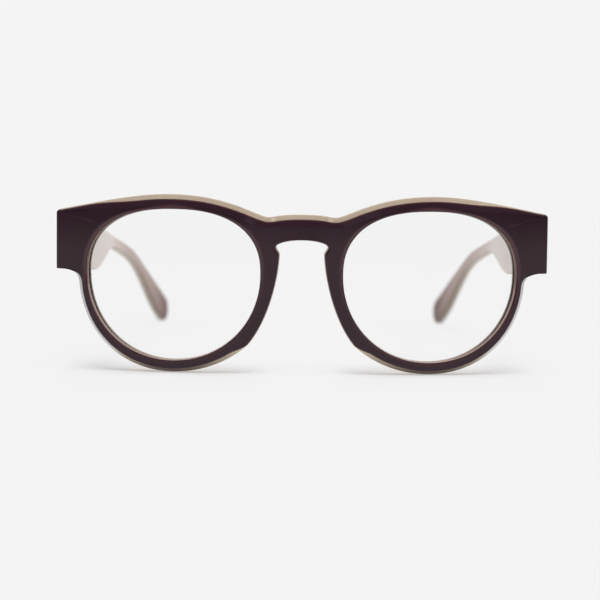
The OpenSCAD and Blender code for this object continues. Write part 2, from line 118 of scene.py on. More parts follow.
TEMPLE_DEPTH, BEND_DEPTH, BLOCK_DEPTH = 130.0, 79.0, 28.0
TEMPLE_DROP, TOE_IN = math.tan(math.radians(11.9)), math.radians(8.4)
BLOCK_T, ARM_T, OUTER_T = 3.8, 2.8, 1.2
BLOCK_H, ARM_H, TIP_H = 13.7, 3.4, 7.8
BUTT_GAP, BUTT_SET, BUTT_EDGE, TEMPLE_STEP = 0.25, 0.15, 0.25, 0.4
BEND_SOFT, TEMPLE_EDGE, TEMPLE_COLUMN = 6.0, 1.1, 2.0
TIP_LIFT, TIP_ROUND = 0.03, 0.973
NARROWING, EAR_AFTER, EAR_BEFORE = 28.0, 30.0, 4.0
FIRST_CUT, TEMPLE_ROWS, TIP_ROWS = 2.0, 200, 22
BUTT_H = END_H - 2 * TEMPLE_STEP
TEMPLE_TOP = CORNER_TOP - TEMPLE_STEP
ARM_DEPTH = BLOCK_DEPTH + NARROWING
EAR_FROM, EAR_TO = ARM_DEPTH + EAR_AFTER, TEMPLE_DEPTH - EAR_BEFORE

# The bridge's face lies this far from the frame's origin
FACE_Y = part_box("front_face_layer")[0].y / MM


# Colours. A sheet of acetate has two tints, deep and pale.

PLUM = (0.028, 0.0095, 0.0165), (0.039, 0.0135, 0.0230)
# The lip's tint is a painted highlight, and the edge's tint is painted red light leaking through
# the eased edges
PLUM_LIP_HIGHLIGHT, PLUM_EDGE_GLOW = (0.120, 0.058, 0.062), (0.140, 0.055, 0.055)
# Both wall tints are painted light leaking through the opening's cut wall
PLUM_WALL, PEACH_WALL = (0.12, 0.040, 0.032), (0.64, 0.335, 0.23)
CHAMPAGNE = (0.66, 0.535, 0.39), (0.78, 0.64, 0.48)
CHAMPAGNE_EDGE, CHAMPAGNE_WALL = (0.78, 0.66, 0.52), (0.86, 0.65, 0.545)
# The side tint is a painted sheen, the white studio mirrored in the rims' outer sides, and the dark
# tint beside it is painted shade where the rims stand
SIDE_SHEEN, SOLE_SHADE, KHAKI_EAR = (0.90, 0.87, 0.86), (0.15, 0.11, 0.085), (0.25, 0.20, 0.155)
# The milky tints are partly painted reflection of the white studio in the temples' inner faces
MILKY_SHEEN = (0.77, 0.68, 0.64), (0.85, 0.76, 0.72)
SMOKY = (0.132, 0.052, 0.044), (0.168, 0.070, 0.060)
ROSE = (0.53, 0.32, 0.26)
UNDERSIDE, UNDERSIDE_EAR = (0.46, 0.39, 0.32), (0.20, 0.15, 0.115)
# The lens edge tint is painted shade
COATING, CLEAR, LENS_EDGE_SHADE = (0.93, 0.96, 1.0), (0.995, 0.998, 0.996), (0.03, 0.03, 0.032)
BLACK, WHITE = (0.0, 0.0, 0.0), (1.0, 1.0, 1.0)

# The scale of each pattern, and what it adds to a surface's roughness where it does
CLOUDS, WIDE_CLOUDS, SPECKS = 90.0, 60.0, 1400.0
HAIRLINES, HAIRLINE_ROUGH = 420.0, 0.012
SMEARS, SMEAR_ROUGH = 60.0, 0.04
WAVES, WAVE_DEPTH, WAVE_STRENGTH = 40.0, 0.0003, 0.08
STREAKS, STREAK_ROUGH = 300.0, 0.05
STEEL_LINES, STEEL_DEPTH, STEEL_STRENGTH = 3000.0, 0.00002, 0.25
BLOOM, BLOOM_ROUGH = 700.0, 0.18
FIBRES = 900.0

# How smooth each acetate is and how strongly it and the lens mirror
PLUM_GLOSS, PLUM_IOR = 0.10, 1.38
CHAMPAGNE_GLOSS, CHAMPAGNE_IOR = 0.14, 1.50
MAUVE_GLOSS, MAUVE_IOR, MAUVE_COAT, COAT_GLOSS = 0.32, 1.15, 0.4, 0.15
LENS_IOR, LENS_MIRROR, LENS_GLOSS = 1.16, 0.9, 0.01

# How far each tint takes over at its strongest; the plum's edge tint is painted light, and the
# tints at the rims' foot and on the lens's edge are painted shade
PLUM_EDGE_GLOW_SHARE, CHAMPAGNE_EDGE_SHARE, SOLE_SHADE_SHARE, LENS_EDGE_SHADE_SHARE = 0.75, 0.75, 0.85, 0.70

# Where tints, painted highlights, painted sheen and painted shade change: places along X, Y or Z in
# metres, and slopes as parts of the normal
EAR_RUN_Y = (-0.012, 0.066)
LIP_HIGHLIGHT_Z, LOW_Z, SOLE_SHADE_Z = (0.020, 0.038), (0.036, 0.030), (0.0060, 0.0010)
OUTER_X, FRONT_Y = (0.048, 0.056), (-0.055, -0.060)
FACES_ASIDE, FACES_FRONT, FACES_DOWN = (0.55, 0.95), (-0.3, -0.7), (-0.3, -0.8)

# The lip's painted highlight comes and goes over these mm from the lens opening
LIP_HIGHLIGHT_COMES, LIP_HIGHLIGHT_GOES = (0.15, 0.55), (1.4, 0.7)


# Camera, floor and light

CAMERA_BACK, CAMERA_UP, CAMERA_ASIDE = 600.0, 78.7, -1.05
PITCH, ROLL = math.radians(5.49), math.radians(0.64)
FOCAL_PX, FRAME_PX, SENSOR, LENS_STOP = 2160.0, 600.0, 36.0, 16.0
CLIP = (0.01, 100.0)
PAPER_REACH, PAPER, PAPER_LIGHT, PAPER_TINT = 0.72, 0.905, 0.99, 0.10
PAPER_COLOUR = (PAPER, PAPER, PAPER)
BEHIND_CAMERA = (0.06, 0.05, 0.07)
SKY_BACK, SKY_BACK_TO = (0.5, -0.5), 0.0
SKY_UP, SKY_UP_TO = (0.2, 0.95), 0.3

# Where the front stands the paper sends back more and is lit less: from and to in metres
FOOT_LIGHT, FOOT_TINT = 0.94, 0.60
FOOT_ZONE_Y, FOOT_FADE = (-0.080, -0.050), 0.03
FOOT_INNER_X, FOOT_OUTER_X = (0.008, 0.020), (0.068, 0.058)


def added(name, data):
    """A new object in the scene that holds data, or an empty one for None."""
    thing = bpy.data.objects.new(name, data)
    bpy.context.scene.collection.objects.link(thing)
    return thing


def camera():
    """A long lens about 600 mm in front of the bridge, a little above it and turned down. It
    is focused on the bridge, so the temples behind the lenses are soft."""
    view = bpy.data.cameras.new("camera")
    view.sensor_width = SENSOR
    view.lens = SENSOR * FOCAL_PX / FRAME_PX
    view.clip_start, view.clip_end = CLIP
    focus = added("focus", None)
    focus.location = (0.0, FACE_Y * MM, BRIDGE_Z * MM)
    view.dof.use_dof, view.dof.focus_object = True, focus
    view.dof.aperture_fstop = LENS_STOP
    spot = added("camera", view)
    spot.location = (CAMERA_ASIDE * MM, (FACE_Y - CAMERA_BACK) * MM, CAMERA_UP * MM)
    spot.rotation_euler = (math.pi / 2 - PITCH, -ROLL, 0.0)
    bpy.context.scene.camera = spot


# Materials: arithmetic on a Signal adds Math nodes, and Recipe.node adds any other node

class Signal:
    """What one socket of a node gives, with Python's operators on it."""

    def __init__(self, recipe, socket):
        self.recipe, self.socket = recipe, socket

    def math(self, operation, *others):
        values = dict(enumerate((self,) + others))
        return self.recipe.node("Math", {"operation": operation}, values)

    def __add__(self, other):
        return self.math("ADD", other)

    def __mul__(self, other):
        return self.math("MULTIPLY", other)

    def __sub__(self, other):
        return self.math("SUBTRACT", other)

    def __rsub__(self, other):
        return self.recipe.node("Math", {"operation": "SUBTRACT"}, {0: other, 1: self})

    def __abs__(self):
        return self.math("ABSOLUTE")


class Recipe:
    """The nodes of a material or of the world. Its place is each point's own coordinates in
    metres on a piece, and the direction looked along in the world."""

    def __init__(self, owner, place="Object"):
        owner.use_nodes = True
        self.owner, self.tree = owner, owner.node_tree
        self.tree.nodes.clear()
        self.place = self.node("TexCoord", {}, {}, place)

    def node(self, kind, settings, inputs, output=0):
        """Adds a node and gives one of its outputs. An input is a Signal or a constant."""
        made = self.tree.nodes.new("ShaderNode" + kind)
        for key, value in settings.items():
            setattr(made, key, value)
        for key, value in inputs.items():
            if isinstance(value, Signal):
                self.tree.links.new(value.socket, made.inputs[key])
            elif isinstance(value, tuple) and made.inputs[key].type == "RGBA":
                made.inputs[key].default_value = (*value, 1.0)
            else:
                made.inputs[key].default_value = value
        return Signal(self, made.outputs[output])

    def field(self, name):
        """A value that the piece's own points carry, and 0 where they carry none."""
        return self.node("Attribute", {"attribute_name": name}, {}, "Fac")

    def part(self, axis, vector=None):
        """The part of a vector along an axis, of the place where no other is given."""
        return self.node("SeparateXYZ", {}, {"Vector": vector or self.place}, axis)

    def normal(self, axis):
        return self.part(axis, self.node("NewGeometry", {}, {}, "Normal"))

    def stretched(self, x, y, z):
        """The place scaled on each axis, which draws a pattern out along the small ones."""
        return self.node("Mapping", {}, {"Vector": self.place, "Scale": (x, y, z)})

    def noise(self, scale, detail=2.0, place=None):
        inputs = {"Vector": place or self.place, "Scale": scale, "Detail": detail}
        return self.node("TexNoise", {}, inputs)

    def blend(self, share, first, second):
        """The first colour where share is 0 or less, the second one where it's 1 or more."""
        settings = {"data_type": "RGBA", "clamp_factor": True}
        return self.node("Mix", settings, {"Factor": share, 6: first, 7: second}, 2)

    def spread(self, value, run, to=(0.0, 1.0)):
        """Goes from the first of to to the second while value does so in run, flat past it."""
        return self.node("MapRange", {}, {
            "Value": value, "From Min": run[0], "From Max": run[1],
            "To Min": to[0], "To Max": to[1]})

    def finish(self, shader, kind="Material"):
        out = self.tree.nodes.new("ShaderNodeOutput" + kind)
        self.tree.links.new(shader.socket, out.inputs["Surface"])
        return self.owner


def sheet(make, tints, cloud):
    """The colour of sheet acetate: slow clouds between two tints, and fine specks."""
    share = (make.noise(cloud, 3.0) * 0.9 + make.noise(SPECKS, 1.0) * 0.1 - 0.3) * 2.2
    return make.blend(share, *tints)


def polish(make, colour, gloss, **sockets):
    """A polished surface: hairlines left by the wheel, and slow waves that bend its glints.
    The hairlines and smears move its roughness evenly to both sides of gloss."""
    hairlines = make.noise(HAIRLINES, 2.0, make.stretched(1.0, 1.0, 6.0)) * HAIRLINE_ROUGH
    smears = make.noise(SMEARS) * SMEAR_ROUGH
    rough = hairlines + smears + (gloss - (HAIRLINE_ROUGH + SMEAR_ROUGH) / 2)
    bump = make.node("Bump", {}, {
        "Strength": WAVE_STRENGTH, "Distance": WAVE_DEPTH, "Height": make.noise(WAVES, 1.0)})
    return make.finish(make.node("BsdfPrincipled", {}, {
        "Base Color": colour, "Roughness": rough, "Normal": bump, **sockets}))


def plum_acetate(name):
    """Dark acetate. Its eased edges carry painted light, red as if light leaked through them. A lip
    along the lens opening carries a painted highlight, most at the brow, for the floor mirrored
    in the opening's eased edge. Painted light in the opening's cut wall goes from brown to peach
    towards the back."""
    make = Recipe(bpy.data.materials.new(name))
    body = sheet(make, PLUM, CLOUDS)
    high = make.spread(make.part("Z"), LIP_HIGHLIGHT_Z)
    reach = make.field("reach")
    # A painted highlight along the lens opening, most at the brow, for the floor mirrored in the
    # opening's eased edge
    lip = make.spread(reach, LIP_HIGHLIGHT_COMES) * make.spread(reach, LIP_HIGHLIGHT_GOES) * (high * 0.7 + 0.1)
    body = make.blend(lip, body, PLUM_LIP_HIGHLIGHT)
    # Painted light: red on the eased edges, and brown to peach in the opening's cut wall
    body = make.blend(make.field("edge") * PLUM_EDGE_GLOW_SHARE, body, PLUM_EDGE_GLOW)
    body = make.blend(make.field("wall") * 2.0, body, PLUM_WALL)
    body = make.blend(make.field("wall") * 2.0 - 0.7, body, PEACH_WALL)
    return polish(make, body, PLUM_GLOSS, IOR=PLUM_IOR)


def champagne_acetate(name):
    """Pale acetate, a little lighter where it is cut or eased, with a painted sheen on the rims'
    outer sides and low ledges for the white studio they mirror, painted shade low on the front
    where the rims stand on the floor, and khaki at the ears."""
    make = Recipe(bpy.data.materials.new(name))
    ear = make.spread(make.part("Y"), EAR_RUN_Y)
    body = make.blend(ear, sheet(make, CHAMPAGNE, CLOUDS), KHAKI_EAR)
    # A painted sheen on the outer sides and the low front ledges, where they mirror the white
    # studio
    sideways = make.spread(abs(make.normal("X")), FACES_ASIDE)
    forward = make.spread(make.normal("Y"), FACES_FRONT)
    ledge = forward * make.spread(abs(make.part("X")), OUTER_X) * make.spread(make.part("Z"), LOW_Z)
    outer = (sideways + ledge) * make.spread(make.part("Y"), FRONT_Y)
    body = make.blend(outer, body, SIDE_SHEEN)
    edge = make.field("edge") * (CHAMPAGNE_EDGE_SHARE - ear * CHAMPAGNE_EDGE_SHARE)
    body = make.blend(edge, body, CHAMPAGNE_EDGE)
    body = make.blend(make.field("wall"), body, CHAMPAGNE_WALL)
    # Painted shade low on the front faces, where the rims stand on the floor
    sole_shade = make.spread(make.part("Z"), SOLE_SHADE_Z)
    body = make.blend(sole_shade * forward * SOLE_SHADE_SHARE, body, SOLE_SHADE)
    return polish(make, body, CHAMPAGNE_GLOSS, IOR=CHAMPAGNE_IOR)


def mauve_acetate(name):
    """Smoky acetate that is milky at the hinge, rose half way and clears towards the ear,
    where it also loses its shine. Near the hinge the milky tint is partly painted reflection
    of the white studio, which the inner face mirrors at a slant. Its underside, cut across the
    sheet, is khaki."""
    make = Recipe(bpy.data.materials.new(name))
    ear = make.spread(make.part("Y"), EAR_RUN_Y)
    # The milky tint near the hinge is partly painted reflection
    body = make.blend(ear, sheet(make, MILKY_SHEEN, WIDE_CLOUDS), sheet(make, SMOKY, WIDE_CLOUDS))
    body = make.blend((ear - ear * ear) * 2.0, body, ROSE)
    under = make.spread(make.normal("Z"), FACES_DOWN)
    body = make.blend(under, body, make.blend(ear, UNDERSIDE, UNDERSIDE_EAR))
    coat = MAUVE_COAT - ear * MAUVE_COAT
    return polish(make, body, MAUVE_GLOSS, **{
        "IOR": MAUVE_IOR, "Coat Weight": coat, "Coat Roughness": COAT_GLOSS})


def clear_lens(name):
    """A coated lens: it lets the light through and mirrors a little, more at a slant, with
    faint wiped streaks in its mirroring. Its edge carries painted shade, a dark line strongest
    towards the temple side."""
    make = Recipe(bpy.data.materials.new(name))
    streaks = make.noise(STREAKS, 3.0, make.stretched(1.0, 1.0, 0.25)) * STREAK_ROUGH
    glint = make.node("BsdfGlossy", {}, {"Color": COATING, "Roughness": streaks + LENS_GLOSS})
    through = make.node("BsdfTransparent", {}, {"Color": CLEAR})
    mirror = make.node("Fresnel", {}, {"IOR": LENS_IOR}) * LENS_MIRROR
    clear = make.node("MixShader", {}, {0: mirror, 1: through, 2: glint})
    # Painted shade on the lens's edge
    dark = make.node("BsdfDiffuse", {}, {"Color": LENS_EDGE_SHADE})
    shade = make.field("edge") * LENS_EDGE_SHADE_SHARE
    return make.finish(make.node("MixShader", {}, {0: shade, 1: clear, 2: dark}))


def brushed_metal(name, dark, light, along, rough):
    """Tumbled steel: fine lines drawn out along one axis, and a dull bloom between them."""
    make = Recipe(bpy.data.materials.new(name))
    lines = make.noise(STEEL_LINES, 2.0, make.stretched(*along))
    bloom = make.noise(BLOOM, 3.0)
    colour = make.blend(make.spread(lines * 0.6 + bloom * 0.4, (0.35, 0.65)), dark, light)
    bump = make.node("Bump", {}, {
        "Strength": STEEL_STRENGTH, "Distance": STEEL_DEPTH, "Height": lines})
    rough = bloom * BLOOM_ROUGH + (rough - BLOOM_ROUGH / 2)
    return make.finish(make.node("BsdfPrincipled", {}, {
        "Base Color": colour, "Metallic": 1.0, "Roughness": rough, "Normal": bump}))


FINISHES = {
    "plum_acetate": plum_acetate("plum_acetate"),
    "champagne_acetate": champagne_acetate("champagne_acetate"),
    "mauve_acetate": mauve_acetate("mauve_acetate"),
    "clear_lens": clear_lens("clear_lens"),
    "hinge_steel": brushed_metal("hinge_steel", dark=(0.42, 0.40, 0.38),
                                 light=(0.62, 0.60, 0.57), along=(1.0, 1.0, 0.06), rough=0.34),
    "screw_steel": brushed_metal("screw_steel", dark=(0.36, 0.36, 0.37),
                                 light=(0.60, 0.60, 0.61), along=(0.3, 0.3, 1.0), rough=0.28),
    "wire_steel": brushed_metal("wire_steel", dark=(0.38, 0.37, 0.36),
                                light=(0.55, 0.54, 0.52), along=(1.0, 0.05, 1.0), rough=0.30),
}


# Surfaces

def unit(vectors):
    """Vectors scaled to length 1, and left at 0 where they have none."""
    length = np.linalg.norm(vectors, axis=-1, keepdims=True)
    return vectors / np.maximum(length, 1e-12)


def smooth(share):
    """An even S from 0 to 1: three squares less two cubes."""
    share = np.clip(share, 0.0, 1.0)
    return share * share * (3.0 - 2.0 * share)


def mix(a, b, share):
    """The value that lies a share of the way from a to b."""
    return a + (b - a) * share


def rounded(rows, radii, edge_tint=1.0):
    """Rows of closed profiles with each corner eased: the corner gives way to a parabola that
    leaves both of its sides one radius away, or a share of a side where that is less. rows is
    (row, corner, 3). Also returns how much of an edge each new point is, times edge_tint, the
    strength of the edge's tint, which on the plum is painted light."""
    before, after = np.roll(rows, 1, axis=1), np.roll(rows, -1, axis=1)
    radii = np.broadcast_to(np.asarray(radii, float), rows.shape[:2])[..., None]
    reach = [np.minimum(radii, EASE_LIMIT * np.linalg.norm(side - rows, axis=-1, keepdims=True))
             for side in (before, after)]
    start = (rows + unit(before - rows) * reach[0])[:, :, None, :]
    end = (rows + unit(after - rows) * reach[1])[:, :, None, :]
    t = np.linspace(0.0, 1.0, EASE_STEPS + 1).reshape(1, 1, -1, 1)
    curve = (1 - t) ** 2 * start + 2 * t * (1 - t) * rows[:, :, None, :] + t ** 2 * end
    share = 4 * (t * (1 - t))[..., 0] * np.minimum(radii / EASE_FULL, 1.0)
    share = np.minimum(share * np.broadcast_to(edge_tint, rows.shape[1])[:, None], 1.0)
    return curve.reshape(len(rows), -1, 3), share.reshape(len(rows), -1)


def filled(rows, edges, longest):
    """Rows whose long sides get more columns, evenly spaced, so that a bent face stays bent."""
    new_rows, new_edges = [], []
    for column in range(rows.shape[1]):
        here, there = rows[:, column], rows[:, (column + 1) % rows.shape[1]]
        parts = int(np.ceil(np.linalg.norm(there - here, axis=-1).max() / longest))
        for part in range(max(parts, 1)):
            new_rows.append(mix(here, there, part / max(parts, 1)))
            new_edges.append(edges[:, column] * (part == 0))
    return np.stack(new_rows, axis=1), np.stack(new_edges, axis=1)


def quads(rows, columns, wrap_rows):
    """The faces of a grid of points, row by row, with the last column joined to the first
    one, and the last row too where wrap_rows says so."""
    i = np.arange(rows if wrap_rows else rows - 1)[:, None]
    j = np.arange(columns)[None, :]
    i2, j2 = (i + 1) % rows, (j + 1) % columns
    corners = [i * columns + j, i2 * columns + j, i2 * columns + j2, i * columns + j2]
    return np.stack(corners, axis=-1).reshape(-1, 4)


def tube(rows, columns, mirrored):
    """The faces of a tube of rows, and the two caps that close its ends."""
    faces = quads(rows, columns, False)
    caps = [list(range(columns))[::-1], [(rows - 1) * columns + k for k in range(columns)]]
    return (faces[:, ::-1], [cap[::-1] for cap in caps]) if mirrored else (faces, caps)


def bent(points):
    """Points [s, z, n] of the flat front rolled round an upright axis behind it: s becomes an
    arc of the bow's radius, and n a step towards its middle."""
    s, z, n = points[..., 0], points[..., 1], points[..., 2]
    turn = s / BOW_R
    return np.stack([(BOW_R - n) * np.sin(turn), BOW_R - (BOW_R - n) * np.cos(turn), z], -1)


def piece(name, points, faces, fields, body, slot, replaces, caps=(), weld=False):
    """A mesh object from points in mm from the bridge's face, placed in the frame. fields
    holds what its material reads at each point: how much of an edge or of an opening's wall
    the point is, and its reach, the mm between it and the opening."""
    mesh = bpy.data.meshes.new(name)
    placed = (points.reshape(-1, 3) + np.array([0.0, FACE_Y, 0.0])) * MM
    mesh.from_pydata(placed, [], [list(map(int, face)) for face in faces] + list(caps))
    for field, values in fields.items():
        attribute = mesh.attributes.new(field, "FLOAT", "POINT")
        attribute.data.foreach_set("value", np.asarray(values, np.float32).reshape(-1))
    mesh.shade_smooth()
    mesh.materials.append(FINISHES[slot])
    thing = added(name, mesh)
    if weld:
        joined = thing.modifiers.new("joined halves", "WELD")
        joined.merge_threshold = HAIR * MM
    shading = thing.modifiers.new("flat faces stay flat", "WEIGHTED_NORMAL")
    shading.weight = 100
    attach(thing, body)
    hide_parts(replaces)
    return thing


# The front's outline

def opening(angle, grow=0.0):
    """The edge of the lens opening seen at an angle from its middle: a squared ellipse, with
    one height above the middle and another below it, moved outward by grow."""
    c, s = np.cos(angle), np.sin(angle)
    height = np.where(s > 0, LENS_RISE, LENS_DROP)
    power = np.where(s > 0, SQUARE_TOP, SQUARE_LOW)
    radius = (np.abs(2 * c / LENS_W) ** power + np.abs(s / height) ** power) ** (-1 / power)
    return EYE + (radius + grow)[:, None] * np.stack([c, s], -1)


def low_rim(degrees, nasal):
    """The lower rim at angles: the same squared ellipse, as tall as the rim is from Z = 0."""
    c, s = np.cos(np.radians(degrees)), np.sin(np.radians(degrees))
    half = LENS_W / 2 + (NASAL_EXTRA if nasal else RIM_SIDE)
    power = SQUARE_NASAL if nasal else SQUARE_SIDE
    radius = (np.abs(c / half) ** power + np.abs(s / EYE[1]) ** power) ** (-1 / power)
    return EYE + radius[:, None] * np.stack([c, s], -1)


def cubic(t, p0, p1, p2, p3):
    """A cubic curve between p0 and p3 with handles p1 and p2, at shares t."""
    t = t[:, None]
    return ((1 - t) ** 3 * p0 + 3 * (1 - t) ** 2 * t * p1
            + 3 * (1 - t) * t ** 2 * p2 + t ** 3 * p3)


def line(t, start, end):
    """A straight run between two points, at shares t."""
    return mix(np.asarray(start, float), np.asarray(end, float), t[:, None])


def arc(t, centre, radius, start, end):
    """A run round a centre from one angle to another in degrees, at shares t."""
    angle = np.radians(mix(start, end, t))[:, None]
    return np.array(centre) + radius * np.concatenate([np.cos(angle), np.sin(angle)], 1)


NOTCH = low_rim(np.array([NOTCH_ANGLE]), True)[0]
FILLET = low_rim(np.array([FILLET_ANGLE]), False)[0]
CORNER_END = np.array([END_S - CORNER_R + CORNER_R * math.cos(math.radians(CORNER_TURN)),
                       SIDE_TOP + CORNER_R * math.sin(math.radians(CORNER_TURN))])

# The outline's curves, each from its start to its end with a handle for either
FOOT_CURVE = (FILLET, FILLET + [0.25, 1.9], FOOT - [1.9, 0], FOOT)
BROW_OUTSIDE = (CORNER_END, CORNER_END + [-10, 1.9], APEX + [10.2, 0], APEX)
BROW_INSIDE = (APEX, APEX - [17.2, 0], DIP + [3.4, 0], DIP)
BRIDGE_CURVE = (DIP, DIP - [2.2, 0], BRIDGE_MID + [6.9, 0], BRIDGE_MID)
KEYHOLE_TOP = (KEYHOLE_MID, KEYHOLE_MID + [2.2, 0], LOBE_TOP + [-1.7, 0.75], LOBE_TOP)
KEYHOLE_SIDE = (LOBE_TOP, LOBE_TOP + [2.1, -0.93], NECK + [-0.07, 1.4], NECK)
NOSE = (NECK, NECK + [0.4, -8.0], NOTCH + [-5.2, 6.1], NOTCH)


def outline():
    """Stations round one half of the front: the point, the inward normal, the angle on the
    lens opening that goes with it, and the widths of the bared band and of the bevel. A run
    has its number of stations, the angle that it starts from, its kind and its curve."""
    runs = [
        (5, -8, "foot", lambda t: cubic(t, *FOOT_CURVE)),
        (2, -3, "end", lambda t: line(t, FOOT, [END_S - FOOT_R, END_Z])),
        (2, 0, "end", lambda t: arc(t, [END_S - FOOT_R, END_Z + FOOT_R], FOOT_R, -90, 0)),
        (6, 2, "end", lambda t: line(t, [END_S, END_Z + FOOT_R], [END_S, SIDE_TOP])),
        (3, 30, "end", lambda t: arc(t, [END_S - CORNER_R, SIDE_TOP], CORNER_R, 0, CORNER_TURN)),
        (15, 34, "brow", lambda t: cubic(t, *BROW_OUTSIDE)),
        (15, 87, "brow", lambda t: cubic(t, *BROW_INSIDE)),
        (5, 141, "brow", lambda t: cubic(t, *BRIDGE_CURVE)),
        (2, 150, "brow", lambda t: line(np.where(t > 0, 0.5 + t / 2, t), BRIDGE_MID, KEYHOLE_MID)),
        (5, 158, "nose", lambda t: cubic(t, *KEYHOLE_TOP)),
        (6, 165, "nose", lambda t: cubic(t, *KEYHOLE_SIDE)),
        (13, 172, "nose", lambda t: cubic(t, *NOSE)),
        (10, 217, "notch", lambda t: low_rim(mix(NOTCH_ANGLE, 270.0, t), True)),
        (18, 268, "rim", lambda t: low_rim(mix(270.0, 360.0 + FILLET_ANGLE, t), False)),
    ]
    ends = [run[1] for run in runs[1:]] + [360 + runs[0][1]]
    fade = END_S - EYE[0] - FADE_SHORT
    points, angles, bands, bevels = [], [], [], []
    for (count, angle, kind, curve), end in zip(runs, ends):
        t = np.arange(count * FINE) / (count * FINE)
        p = curve(t)
        past = p[:, 0] - EYE[0]
        points.append(p)
        angles.append(mix(angle, end, t))
        bands.append({
            "brow": mix(BROW_REVEAL, END_REVEAL, smooth((past - REVEAL_FADES) / fade)),
            "notch": mix(EDGE_MIN, mix(NASAL_REVEAL, LOW_REVEAL, t), smooth(t * 4)),
            "rim": mix(LOW_REVEAL, SIDE_REVEAL, t),
            "foot": mix(SIDE_REVEAL, EDGE_MIN, smooth(t))}.get(kind, np.full(len(t), EDGE_MIN)))
        wide = mix(BROW_BEVEL, END_BEVEL, smooth((past - BEVEL_FADES) / fade))
        bevels.append(wide if kind == "brow" else np.full(len(t), EDGE))
    p = np.concatenate(points)
    along = unit(np.roll(p, -1, axis=0) - np.roll(p, 1, axis=0))
    inward = np.stack([-along[:, 1], along[:, 0]], -1)
    middle = p[:, 0] < HAIR
    inward[middle] = 0.0
    inward[middle & (np.abs(p[:, 1] - BRIDGE_Z) < HAIR)] = [0.0, -1.0]
    inward[middle & (np.abs(p[:, 1] - KEYHOLE_Z) < HAIR)] = [0.0, 1.0]
    angles, bands, bevels = map(np.concatenate, (angles, bands, bevels))
    return p, inward, np.radians(angles), bands, bevels


def laminate(name, slot, node, corners, radii, edge_tint):
    """One layer of the front. Each station's profile runs from the outline to the lens
    opening and back, its corners are eased, its faces are bent to the bow, and the half is
    mirrored. The walls where the halves meet are left out and the halves are welded, so no
    corner is eased there."""
    p, inward, angle, band, bevel = outline()

    def rim(w, n):
        w, n = np.broadcast_to(w, len(p)), np.broadcast_to(n, len(p))
        return np.concatenate([p + w[:, None] * inward, n[:, None]], 1)

    def eye(grow, n):
        return np.concatenate([opening(angle, grow), np.full((len(p), 1), n)], 1)

    free = np.abs(inward).sum(axis=1, keepdims=True) > 0.0
    rows = np.stack(corners(rim, eye, band, bevel), 1)
    rows, edges = filled(*rounded(rows, np.asarray(radii) * free, edge_tint), FRONT_COLUMN)
    hole = np.linalg.norm(opening(angle) - EYE, axis=-1)[:, None]
    reach = np.linalg.norm(rows[..., :2] - EYE, axis=-1) - hole
    walls = np.clip(1 - reach / WALL_BLEND, 0, 1) * np.clip(rows[..., 2] / FACE_T, 0, 1)
    half = bent(rows).reshape(-1, 3)
    faces = quads(*rows.shape[:2], True)
    faces = faces[np.abs(half[faces][:, :, 0]).max(axis=1) > HAIR]
    points = np.concatenate([half, half * [-1, 1, 1]])
    both = np.concatenate([faces, faces[:, ::-1] + len(half)])
    fields = {"edge": edges, "wall": walls, "reach": reach}
    fields = {field: np.tile(values.reshape(-1), 2) for field, values in fields.items()}
    return piece(name, points, both, fields, "front", slot, node, weld=True)


# The corners of each layer's profile, how far each is eased in mm, and how strongly the
# easing's tint shows: painted red light on the plum face, a paler tint on the champagne

FACE_RADII = [0.0, 0.50, 0.05, 0.15, 0.15, 0.0]
FACE_EDGE_GLOW = [0.0, 1.2, 0.0, 2.0, 2.0, 0.0]
BACK_RADII = [0.0, 0.15, 0.2, 0.2, 0.2, 0.2, 0.05, 0.0, 0.05, 0.0]


def face_corners(rim, eye, band, bevel):
    """Up the outline, over the bevel, across the face and down the lens opening."""
    return [rim(band, FACE_T), rim(band, np.minimum(bevel, FACE_T - BEVEL_STEP)),
            rim(band + bevel, 0.0), eye(EDGE, 0.0), eye(0.0, EDGE), eye(0.0, FACE_T)]


def back_corners(rim, eye, band, bevel):
    """Out over the bared band, down the outline, across the back, and up the lens opening
    with its groove."""
    return [rim(band, FACE_T), rim(0.0, FACE_T + np.minimum(band, REVEAL_STEP)),
            rim(0.0, FRONT_T - EDGE),
            rim(EDGE, FRONT_T), eye(EDGE, FRONT_T), eye(0.0, FRONT_T - EDGE),
            eye(0.0, GROOVE_N + GROOVE_HALF), eye(GROOVE_DEPTH, GROOVE_N),
            eye(0.0, GROOVE_N - GROOVE_HALF), eye(0.0, FACE_T)]


# Lenses and nose rests

def lens(side):
    """Rings round the lens's middle: a share of the opening's edge, pushed forward by the
    dome where the share is small, down one face, over the bevel and back up the other."""
    angle = np.linspace(0.0, 2 * np.pi, LENS_ROUND, endpoint=False)
    shares = np.concatenate([[0.001], np.linspace(0.08, LENS_SHADE, LENS_RINGS), [1.0]])
    rings = [(share, -LENS_GAP, -LENS_T / 2) for share in shares]
    rings += [(1.0, -LENS_GAP, -LENS_BEVEL), (1.0, GROOVE_DEPTH - LENS_SEAT, 0.0),
              (1.0, -LENS_GAP, LENS_BEVEL)]
    rings += [(share, -LENS_GAP, LENS_T / 2) for share in shares[::-1]]
    rows = []
    for share, grow, n in rings:
        flat = mix(EYE, opening(angle, grow), share)
        depth = np.full((len(angle), 1), GROOVE_N + n - LENS_DOME * (1 - share * share))
        rows.append(np.concatenate([flat, depth], 1))
    points = bent(np.stack(rows)) * [SIDES[side], 1, 1]
    faces, caps = tube(len(rings), len(angle), SIDES[side] > 0)
    # Painted shade on the edge rings, strongest towards the temple side
    thick = np.clip(np.cos(angle), 0.0, 1.0) ** 1.5
    edges = np.array([[float(ring[0] > LENS_SHADE)] for ring in rings]) * thick
    return piece("lens_clear_" + side, points, faces, {"edge": edges}, "front", "clear_lens",
                 "lens_" + side, caps)


